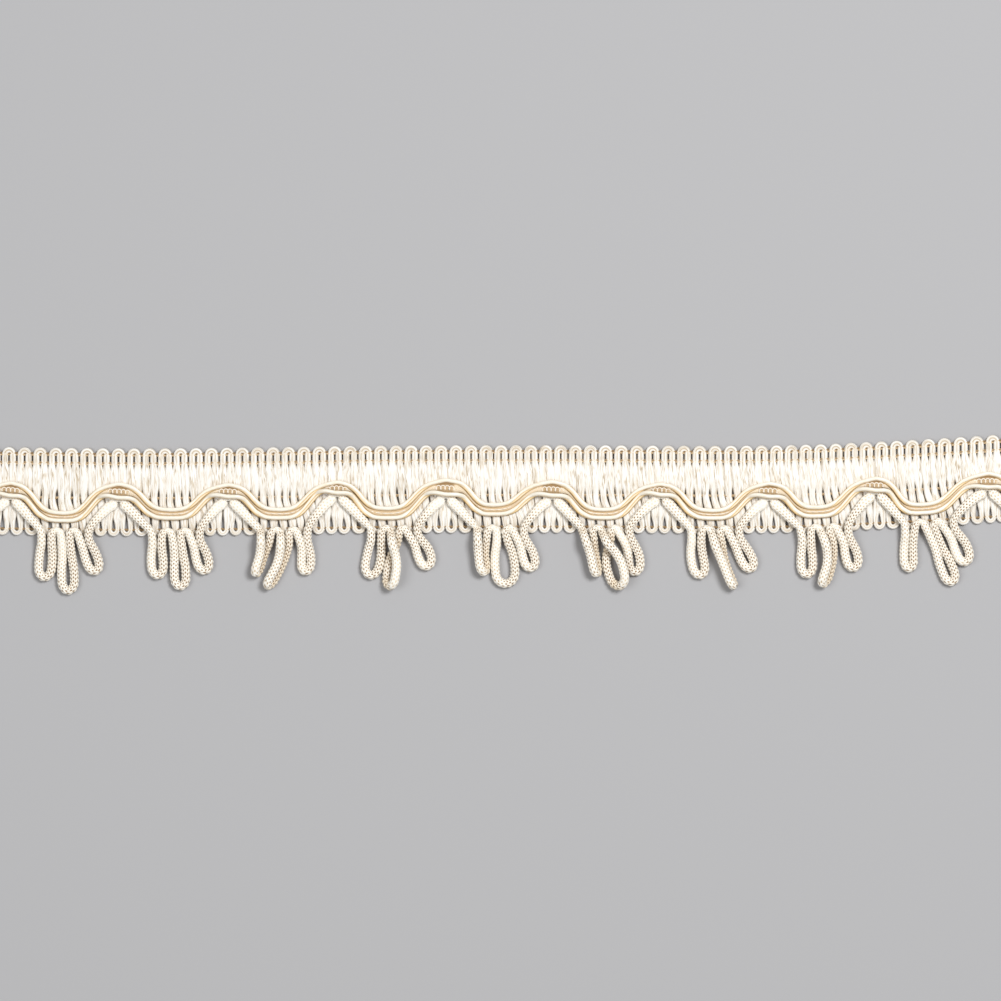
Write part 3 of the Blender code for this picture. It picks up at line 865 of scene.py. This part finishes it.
def patternAt(x, y):
    # The stitches and their painted shade show less where the cord is pressed flat, and least
    # at the sewn arches
    side = "right" if x > crestAndTrough(x)[0]["along"] else "left"
    pressed = mix(1.0, knit["pressedPattern"][side], pressedShare(x, y))
    return pressed * mix(1.0, knit["archPattern"], archShare(x, y))


def coveredShares(places):
    # How far each station lies under another stretch of the cord, 0 to 1, which sets painted shade there
    shares = []
    for number, place in enumerate(places):
        near = places[max(number - knit["coverStations"], 0):number + knit["coverStations"]]
        above = near[near[:, 2] > place[2] + knit["coverRise"]]
        away = np.linalg.norm(above[:, :2] - place[:2], axis=1).min() if len(above) else 1.0
        shares.append(ease(away, *knit["coverOver"]))
    return shares


def knittedRoute():
    places = evenStations(knittedPoints(), knit["course"] / knit["rowsPerCourse"])
    covered = coveredShares(places)
    route = []
    for number, (x, y, z) in enumerate(places):
        half = knitHalf(x, y) * mix(1.0, knit["archWidth"], archShare(x, y))
        half *= mix(1.0, knit["crestArchWidth"], crestArchShare(x, y))
        pressed = pressedShare(x, y)
        # On each loop's right leg, where the cord is laid back, the stitches stand open: deeper pits
        # with more painted shade in them, and painted shade on the cord, as under another stretch
        run = runPast(places, number, knit["climbStations"])
        climbing = ease(run[1], -mm, mm) * (1.0 - pressed)
        opened = knit["openEvenly"] + knit["openDrift"] * noise.noise(Vector((number / 45.0, 9.4, 0.0)))
        opened += knit["pitsAndShadeCovered"] * covered[number] + knit["pitsAndShadeClimbing"] * climbing
        route.append(routeRow(
            Vector((x, y, z)), half * mix(1.0, knit["pressedWide"], pressed),
            half * mix(1.0, knit["pressedHigh"], pressed), number=number,
            twist=knit["twist"] * noise.noise(Vector((number / 130.0, 4.2, 0.0))),
            pattern=patternAt(x, y) * opened,
            shade=knit["darkCovered"] * covered[number] + knit["darkClimbing"] * climbing,
        ))
    return route


def knitSection(station, angle, valueAt):
    # V stitches: rows climb to the middle of each wale, and pits lie between the legs there
    around = angle * knit["wales"] / (2.0 * math.pi)
    zigzag = np.abs(np.mod(around, 1.0) - 0.5) * 2.0
    phase = valueAt("number") / knit["rowsPerCourse"]
    shifted = station + (zigzag - 0.5) * knit["climb"] * knit["rowsPerCourse"] * 2.0
    ridge = 0.5 - 0.5 * np.cos(2.0 * math.pi * phase)
    column = np.abs(np.cos(2.0 * math.pi * around))
    relief = knit["pitDepth"] * valueAt("pattern")
    radius = 1.0 - relief * (1.0 - ridge) * (0.4 + 0.6 * column) - 0.03 * column
    turned = angle + valueAt("twist")
    # Its shade is painted shade, taken from the route
    return shifted, radius * np.cos(turned), radius * np.sin(turned), valueAt("shade"), 1.0, around, phase


knitStations = knittedRoute()
joint = Vector((crests[5]["along"], crestTop(crests[5])))
distances = [(row["place"].xy - joint).length for row in knitStations]
middleStation = distances.index(min(distances))
knitHalves = {
    "knitted_cord_left": knitStations[:middleStation + 1],
    "knitted_cord_right": knitStations[middleStation:],
}
columns = knit["wales"] * knit["columnsPerWale"]
knittedCords = []
for name, part in knitHalves.items():
    knittedCords.append(makeCord(name, columns, part, knitSection, knit["flank"]))
print("Knitted cord:", len(knitStations), "rows")

# Between the waved cords: a flat bed of fine threads, and a white thread stitched over it
between = {
    "columns": 12,
    "step": 0.25 * mm,
    "cordHalf": 0.38 * mm,
    "flatCordHalf": 0.62 * mm,
    "leastHalf": 0.06 * mm,
    "bedHigh": 0.3 * mm,
    "bedRise": 0.1 * mm,
    "bedSwell": 0.25,
    "bedOverlap": 0.05 * mm,
    "threadColumns": 6,
    "threadRadius": 0.13 * mm,
    "threadSpace": 0.2 * mm,
    "loopedOver": (0.86, 0.94),
    "loopRoom": (0.03 * mm, 0.45 * mm),
    "loopStep": 0.95 * mm,
    "loopRise": 0.1 * mm,
    "dashedOver": (0.3, 0.1),
    "dashedSpace": 0.35 * mm,
    "dashStep": 1.45 * mm,
    "dashRise": 0.13 * mm,
    "curl": 0.27 * mm,
    "above": 0.03 * mm,
    "hidden": 0.35 * mm,
    "stepsPerTurn": 16,
}


def gapBetween(x):
    # Middle of the space between the cords, and half its width
    upper = upperEdge(x) - waveDepth(x, "upper")
    lower = upperEdge(x) - waveDepth(x, "lower")
    slope = (waveDepth(x + mm, "upper") - waveDepth(x - mm, "upper")) / (2.0 * mm)
    cordHalf = mix(between["cordHalf"], between["flatCordHalf"], flatnessOn(slope))
    half = 0.5 * (upper - lower) * math.cos(math.atan(slope)) - cordHalf
    return 0.5 * (upper + lower), max(half, between["leastHalf"])


def bedHeight(x, y, half):
    # Height of the bed's middle line, which swells where the space is wide
    return groundHeight(x, y) + between["bedRise"] + between["bedSwell"] * half


def bedRoute():
    points = [Vector((x, gapBetween(x)[0], 0.0)) for x in alongTrim()]
    route = []
    for x, y, _ in evenStations(points, between["step"]):
        half = gapBetween(x)[1]
        place = Vector((x, y, bedHeight(x, y, half)))
        high = min(between["bedHigh"], half)
        route.append(routeRow(place, half + between["bedOverlap"], high, crest=crestness(x)))
    return route


def bedSection(station, angle, valueAt):
    # Painted shade: darker at the troughs and at its edges, which run under the cords, and a
    # painted shadow at the middle of each lens, darkest in a thin arch under the upper cord
    y = np.cos(angle)
    crest = valueAt("crest")
    shade = 0.42 - 0.37 * crest + 0.25 * np.abs(y) ** 3
    middle = np.clip((crest - 0.91) / 0.05, 0.0, 1.0)
    shade += middle * (0.55 + 0.4 * np.clip((y - 0.35) / 0.3, 0.0, 1.0))
    return station, y, np.sin(angle), shade, 1.0


def stitchRoute():
    # Small loops in the middle of each lens, dashes at the troughs, and out of sight elsewhere
    route = []
    x, turn = trim["leftEnd"], 0.0
    while x < trim["rightEnd"]:
        middle, half = gapBetween(x)
        crest = crestness(x)
        looped = ease(crest, *between["loopedOver"])
        dashed = ease(half, between["threadSpace"], between["dashedSpace"])
        dashed *= ease(crest, *between["dashedOver"])
        room = within(half - between["threadSpace"], *between["loopRoom"]) * looped
        curl = between["curl"] * looped
        place = Vector((x + curl * math.sin(turn), middle + room * math.cos(turn), 0.0))
        bedTop = bedHeight(x, middle, half) + min(between["bedHigh"], half)
        wave = between["loopRise"] * math.sin(0.5 * turn) * looped
        wave += between["dashRise"] * math.sin(turn) * (1.0 - looped)
        unseen = 1.0 - max(looped, dashed)
        place.z = bedTop + between["above"] + wave - between["hidden"] * unseen
        route.append(routeRow(place, between["threadRadius"], between["threadRadius"], tint=0.0))
        step = mix(between["loopStep"], between["dashStep"], 1.0 - crest)
        x += step / between["stepsPerTurn"]
        turn += 2.0 * math.pi / between["stepsPerTurn"]
    return route


threadBed = makeCord("thread_bed", between["columns"], bedRoute(), bedSection)
route = stitchRoute()
stitchThread = makeCord("stitched_thread", between["threadColumns"], route, threadSection)
print("Threads between the cords:", len(route), "stations")


# Materials
def addNode(tree, kind, place, **values):
    node = tree.nodes.new(kind)
    node.location = place
    for name, value in values.items():
        setattr(node, name, value)
    return node


def mathNode(tree, operation, first, second, place):
    node = addNode(tree, "ShaderNodeMath", place, operation=operation)
    for number, value in enumerate((first, second)):
        if value is None:
            continue
        if isinstance(value, (int, float)):
            node.inputs[number].default_value = value
        else:
            tree.links.new(value, node.inputs[number])
    return node.outputs[0]


def rangeNode(tree, value, fromMin, fromMax, toMin, toMax, place, kind="LINEAR"):
    node = addNode(tree, "ShaderNodeMapRange", place, interpolation_type=kind)
    limits = {"From Min": fromMin, "From Max": fromMax, "To Min": toMin, "To Max": toMax}
    for name, limit in limits.items():
        node.inputs[name].default_value = limit
    tree.links.new(value, node.inputs["Value"])
    return node.outputs[0]


def noiseNode(tree, vector, scale, detail, place):
    node = addNode(tree, "ShaderNodeTexNoise", place)
    node.inputs["Scale"].default_value = scale
    node.inputs["Detail"].default_value = detail
    tree.links.new(vector, node.inputs["Vector"])
    return node.outputs["Fac"]


def makeFibreGroup():
    # Filaments along a yarn: a height for bump, and thin wandering lines
    group = bpy.data.node_groups.new("fibreStreaks", "ShaderNodeTree")
    group.interface.new_socket("Vector", in_out="INPUT", socket_type="NodeSocketVector")
    for name, way in (("Across", "INPUT"), ("Along", "INPUT"), ("Height", "OUTPUT"), ("Line", "OUTPUT")):
        group.interface.new_socket(name, in_out=way, socket_type="NodeSocketFloat")
    inside = addNode(group, "NodeGroupInput", (-900, 0))
    outside = addNode(group, "NodeGroupOutput", (900, 0))
    split = addNode(group, "ShaderNodeSeparateXYZ", (-700, 0))
    group.links.new(inside.outputs["Vector"], split.inputs[0])
    joined = addNode(group, "ShaderNodeCombineXYZ", (-300, 0))
    across = mathNode(group, "MULTIPLY", split.outputs[0], inside.outputs["Across"], (-500, 100))
    along = mathNode(group, "MULTIPLY", split.outputs[1], inside.outputs["Along"], (-500, -100))
    group.links.new(across, joined.inputs[0])
    group.links.new(along, joined.inputs[1])
    fine = noiseNode(group, joined.outputs[0], 3.0, 3.0, (0, 200))
    lines = noiseNode(group, joined.outputs[0], 1.0, 1.5, (0, 0))
    broad = noiseNode(group, joined.outputs[0], 0.4, 1.0, (0, -200))
    offset = mathNode(group, "SUBTRACT", lines, 0.5, (200, 0))
    away = mathNode(group, "ABSOLUTE", offset, None, (350, 0))
    thin = rangeNode(group, away, 0.0, 0.09, 1.0, 0.0, (500, 0), "SMOOTHSTEP")
    patches = rangeNode(group, broad, 0.35, 0.65, 0.2, 1.0, (500, -200))
    group.links.new(fine, outside.inputs["Height"])
    group.links.new(mathNode(group, "MULTIPLY", thin, patches, (700, 0)), outside.inputs["Line"])
    return group


fibreGroup = makeFibreGroup()


def clothMaterial(name, look):
    # look: colours from the lit crown to the darkest painted shade, roughness, sheen, how the
    # fibres run, and mask, a function that gives a pattern from the two parts of the UV map
    # that darkens the colour like the painted shade, or None
    material = bpy.data.materials.new(name)
    material.use_nodes = True
    tree = material.node_tree
    surface = tree.nodes["Principled BSDF"]
    surface.location = (900, 0)
    uv = addNode(tree, "ShaderNodeUVMap", (-1200, 0))
    split = addNode(tree, "ShaderNodeSeparateXYZ", (-1000, 200))
    tree.links.new(uv.outputs[0], split.inputs[0])
    fibres = addNode(tree, "ShaderNodeGroup", (-800, -200))
    fibres.node_tree = fibreGroup
    tree.links.new(uv.outputs[0], fibres.inputs["Vector"])
    fibres.inputs["Across"].default_value = look["across"]
    fibres.inputs["Along"].default_value = look["along"]
    # Painted shade, from the cord's attribute and from the mask where the look has one
    shading = addNode(tree, "ShaderNodeAttribute", (-800, 0), attribute_name="painted_shade")
    crevices = shading.outputs["Fac"]
    if look["mask"]:
        strength = addNode(tree, "ShaderNodeAttribute", (-800, 600), attribute_name="pattern")
        mask = look["mask"](tree, split.outputs[0], split.outputs[1])
        mask = mathNode(tree, "MULTIPLY", mask, strength.outputs["Fac"], (-450, 200))
        crevices = mathNode(tree, "MAXIMUM", mask, crevices, (-300, 100))
    lines = mathNode(tree, "MULTIPLY", fibres.outputs["Line"], look["line"], (-500, -200))
    streaks = rangeNode(tree, fibres.outputs["Height"], 0.4, 0.75, 0.0, look["streak"], (-500, -400))
    deepest = mathNode(tree, "MAXIMUM", crevices, lines, (-100, 0))
    shade = mathNode(tree, "ADD", deepest, streaks, (0, -50))
    # The ramp runs from the lit crown colour to the darkest painted shade
    ramp = addNode(tree, "ShaderNodeValToRGB", (150, 100))
    ramp.color_ramp.elements.new(0.5)
    for stop, colour in zip(ramp.color_ramp.elements, look["colours"]):
        stop.color = (*colour, 1.0)
    tree.links.new(shade, ramp.inputs[0])
    tree.links.new(ramp.outputs[0], surface.inputs["Base Color"])
    rough = rangeNode(tree, shade, 0.0, 1.0, look["roughness"], 0.8, (300, -150))
    tree.links.new(rough, surface.inputs["Roughness"])
    bump = addNode(tree, "ShaderNodeBump", (500, -300))
    bump.inputs["Strength"].default_value = look["bump"]
    bump.inputs["Distance"].default_value = 0.05 * mm
    height = mathNode(tree, "SUBTRACT", fibres.outputs["Height"], shade, (300, -300))
    tree.links.new(height, bump.inputs["Height"])
    tree.links.new(bump.outputs[0], surface.inputs["Normal"])
    surface.inputs["Sheen Weight"].default_value = look["sheen"]
    surface.inputs["Sheen Roughness"].default_value = 0.4
    surface.inputs["Specular IOR Level"].default_value = look["specular"]
    return material


def knitMask(tree, u, v):
    # Painted shade in the pits between the legs of the stitches, and in the faint lines that join them in
    # a V
    moved = mathNode(tree, "ADD", v, 0.5, (-1000, 400))
    shifted = mathNode(tree, "FRACT", moved, None, (-900, 400))
    centred = mathNode(tree, "SUBTRACT", shifted, 0.5, (-800, 400))
    alongAway = mathNode(tree, "ABSOLUTE", centred, None, (-700, 400))
    acrossAway = mathNode(tree, "PINGPONG", u, 0.25, (-900, 600))
    squares = []
    for away, sharpness, level in ((alongAway, 3.8, 400), (acrossAway, 6.3, 600)):
        scaled = mathNode(tree, "MULTIPLY", away, sharpness, (-600, level))
        squares.append(mathNode(tree, "POWER", scaled, 2.0, (-500, level)))
    outward = mathNode(tree, "ADD", *squares, (-400, 500))
    pit = rangeNode(tree, outward, 1.4, 0.3, 0.0, 1.0, (-300, 500), "SMOOTHSTEP")
    line = rangeNode(tree, alongAway, 0.16, 0.03, 0.0, 0.22, (-500, 250), "SMOOTHSTEP")
    return mathNode(tree, "MAXIMUM", pit, line, (-150, 400))


def bedMask(tree, u, v):
    # Small slanting stitches
    aroundPart = mathNode(tree, "MULTIPLY", u, 6.0, (-900, 400))
    alongPart = mathNode(tree, "MULTIPLY", v, 2.2, (-900, 250))
    slanted = mathNode(tree, "ADD", aroundPart, alongPart, (-750, 300))
    wave = mathNode(tree, "PINGPONG", slanted, 0.5, (-600, 300))
    return rangeNode(tree, wave, 0.0, 0.3, 0.3, 0.0, (-450, 300), "SMOOTHSTEP")


# Each look's colours: the lit crown, then painted shade, then the darkest painted shade
yarn = {"roughness": 0.6, "sheen": 0.2, "specular": 0.4, "bump": 0.4, "mask": None}
looks = {
    "weft": {
        **yarn, "roughness": 0.45, "specular": 0.5, "bump": 0.5,
        "colours": ((0.895, 0.89, 0.87), (0.68, 0.6, 0.48), (0.35, 0.25, 0.14)),
        "across": 26.0, "along": 0.22, "line": 0.8, "streak": 0.15,
    },
    "soutache": {
        **yarn, "roughness": 0.3, "sheen": 0.1, "specular": 0.7, "bump": 0.45,
        "colours": ((0.92, 0.89, 0.81), (0.78, 0.57, 0.28), (0.42, 0.24, 0.06)),
        "across": 16.0, "along": 0.4, "line": 0.2, "streak": 0.16,
    },
    "knit": {
        **yarn, "roughness": 0.55, "mask": knitMask,
        "colours": ((0.94, 0.92, 0.86), (0.75, 0.62, 0.44), (0.27, 0.17, 0.09)),
        "across": 6.0, "along": 1.5, "line": 0.15, "streak": 0.15,
    },
    "thread": {
        **yarn,
        "colours": ((0.92, 0.88, 0.8), (0.62, 0.46, 0.27), (0.26, 0.16, 0.07)),
        "across": 6.0, "along": 2.0, "line": 0.3, "streak": 0.1,
    },
    "bed": {
        **yarn, "bump": 0.5, "mask": bedMask,
        "colours": ((0.85, 0.77, 0.62), (0.6, 0.45, 0.27), (0.3, 0.19, 0.09)),
        "across": 10.0, "along": 1.0, "line": 0.2, "streak": 0.2,
    },
}
weftCloth = clothMaterial("soft_white_weft_yarn", looks["weft"])
creamSatin = clothMaterial("cream_satin_soutache", looks["soutache"])
champagneSatin = clothMaterial("champagne_satin_soutache", looks["soutache"])
ivoryKnit = clothMaterial("ivory_knitted_yarn", looks["knit"])
fineThread = clothMaterial("fine_white_thread", looks["thread"])
bedCloth = clothMaterial("cream_thread_bed", looks["bed"])

dressed = [
    (groundWeft, weftCloth, "soft_white_weft", "ground_braid"),
    (wavedCords["upper"], creamSatin, "cream_satin_cord", "upper_wavy_cord"),
    (wavedCords["lower"], champagneSatin, "champagne_satin_cord", "lower_wavy_cord"),
    (knittedCords[0], ivoryKnit, "ivory_knitted_cord", "looped_cord"),
    (knittedCords[1], ivoryKnit, "ivory_knitted_cord", "looped_cord"),
    (threadBed, bedCloth, "cream_satin_cord", None),
    (stitchThread, fineThread, "soft_white_weft", None),
]
dressed += [(thread, fineThread, "soft_white_weft", None) for thread in chainThreads]
for piece, material, slotName, node in dressed:
    piece.data.materials.clear()
    piece.data.materials.append(material)
    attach(piece, "root")
    if node:
        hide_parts(node)
print("Materials:", len(bpy.data.materials))

# Floor, light and camera
stage = {
    "floorSize": 3.0,
    "floorDrop": 0.02 * mm,
    "floorColour": (0.4, 0.4, 0.41, 1.0),
    "skyColour": (1.0, 0.99, 0.97, 1.0),
    "skyStrength": 0.33,
    "frameWidth": 1001 * trim["pixel"],
    "frameDown": 500.5 - 445.7,  # rows of the photograph from the upper edge to its middle
    "lens": 200.0,
    "sensor": 36.0,
}
deselectAll()
bpy.ops.mesh.primitive_plane_add(size=stage["floorSize"], location=(0.0, 0.0, -stage["floorDrop"]))
floor = bpy.context.object
floor.name = "floor"
floorPaint = bpy.data.materials.new("pale_floor")
floorPaint.use_nodes = True
floorSurface = floorPaint.node_tree.nodes["Principled BSDF"]
floorSurface.inputs["Base Color"].default_value = stage["floorColour"]
floorSurface.inputs["Roughness"].default_value = 0.9
floor.data.materials.append(floorPaint)

world = bpy.data.worlds.new("studio")
bpy.context.scene.world = world
world.use_nodes = True
background = world.node_tree.nodes["Background"]
background.inputs["Color"].default_value = stage["skyColour"]
background.inputs["Strength"].default_value = stage["skyStrength"]


def areaLight(name, place, size, power):
    light = bpy.data.lights.new(name, "AREA")
    light.shape = "DISK"
    light.size = size
    light.energy = power
    lamp = bpy.data.objects.new(name, light)
    lamp.location = place
    lamp.rotation_euler = (-Vector(place)).to_track_quat("-Z", "Y").to_euler()
    bpy.context.scene.collection.objects.link(lamp)


areaLight("key_light", (0.4, 0.3, 1.0), 0.4, 10.0)
areaLight("fill_light", (-0.5, -0.1, 0.9), 0.6, 3.2)

camera = bpy.data.objects.new("camera", bpy.data.cameras.new("camera"))
bpy.context.scene.collection.objects.link(camera)
camera.data.lens = stage["lens"]
camera.data.sensor_width = stage["sensor"]
middleY = trim["topEdge"] - stage["frameDown"] * trim["pixel"]
camera.location = (0.0, middleY, stage["frameWidth"] * stage["lens"] / stage["sensor"])
camera.rotation_euler = (0.0, 0.0, 0.0)
camera.data.clip_start = 0.01
bpy.context.scene.camera = camera
bpy.context.scene.view_settings.view_transform = "Standard"

print("Triangles:", {piece.name: 2 * len(piece.data.polygons) for piece, *_ in dressed})
[piece for piece, *_ in dressed[1:]]
